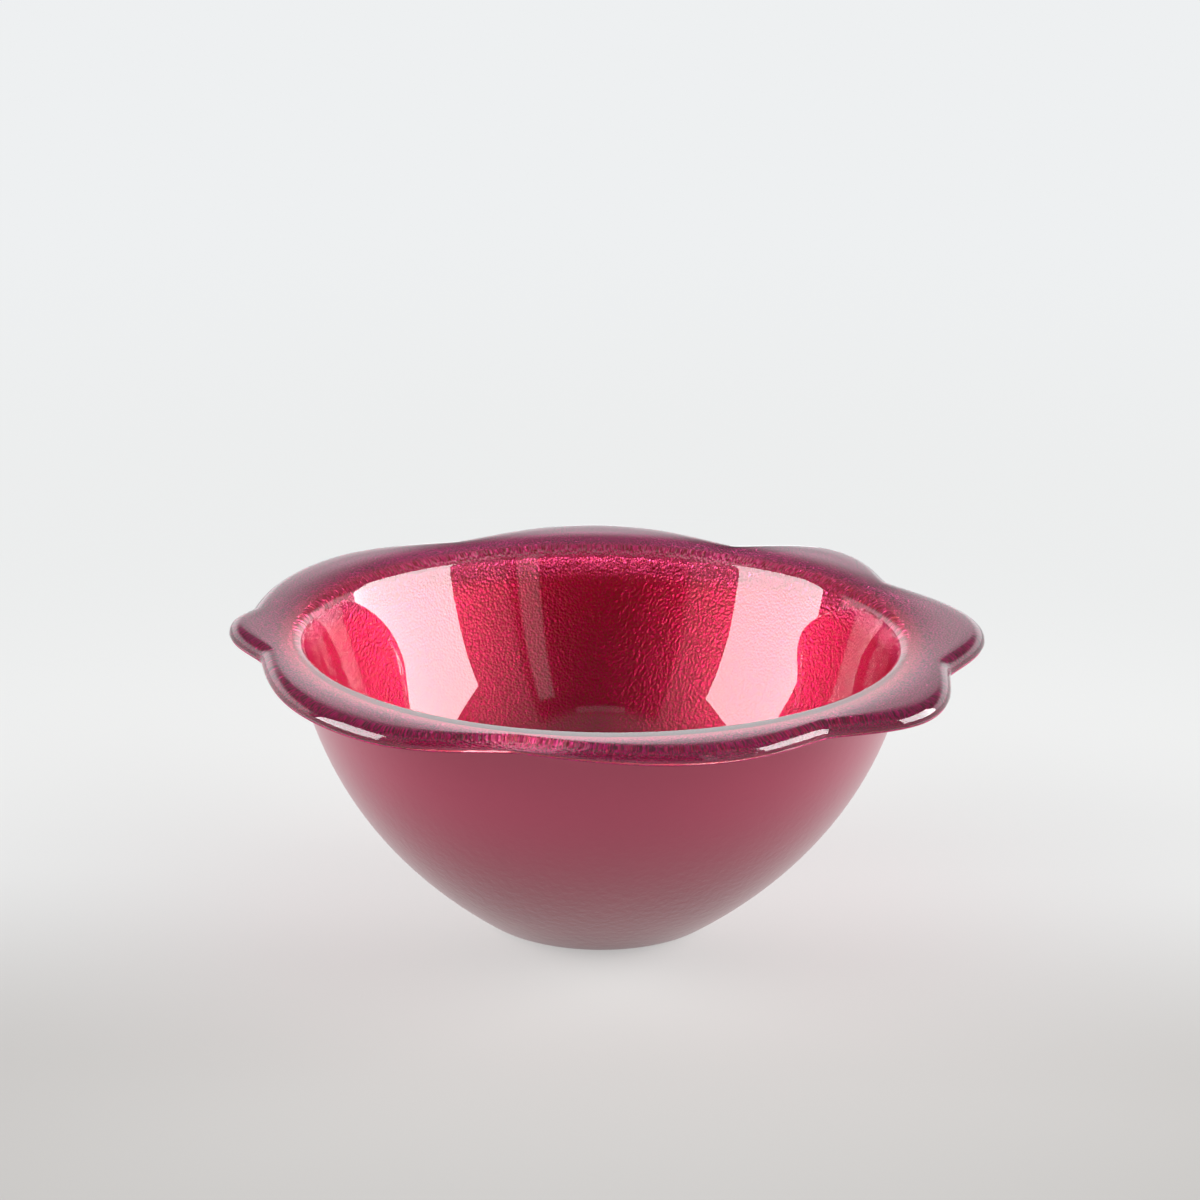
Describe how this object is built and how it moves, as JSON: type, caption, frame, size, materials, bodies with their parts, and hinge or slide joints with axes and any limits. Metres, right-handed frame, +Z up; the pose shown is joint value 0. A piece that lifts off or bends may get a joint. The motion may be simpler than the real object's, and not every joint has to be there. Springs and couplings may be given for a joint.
{
  "type": "soup bowl",
  "caption": "Slumped glass soup bowl with a level, unevenly lobed rim, a metallic colour coat under the clear glass and a satin top coat.",
  "frame": {"origin": "centre of the foot, on the surface that the bowl stands on", "axes": "+Z up along the bowl's axis, +X and +Y level; the reference picture was taken looking along +Y"},
  "size_m": [0.1809, 0.1788, 0.0715],
  "materials": {
    "clear_glass": "clear, fire-polished above, with a ground and polished edge",
    "metallic_colour_coat": "metallic crimson lacquer with a crinkled, sparkling grain, seen through the glass",
    "satin_top_coat": "satin rose-crimson lacquer, smooth at the rim and finely hammered towards the foot"
  },
  "bodies": {
    "root": {"glass_body": "clear_glass", "colour_coat": "metallic_colour_coat", "top_coat": "satin_top_coat", "foot_coat": "satin_top_coat"}
  },
  "joints": []
}
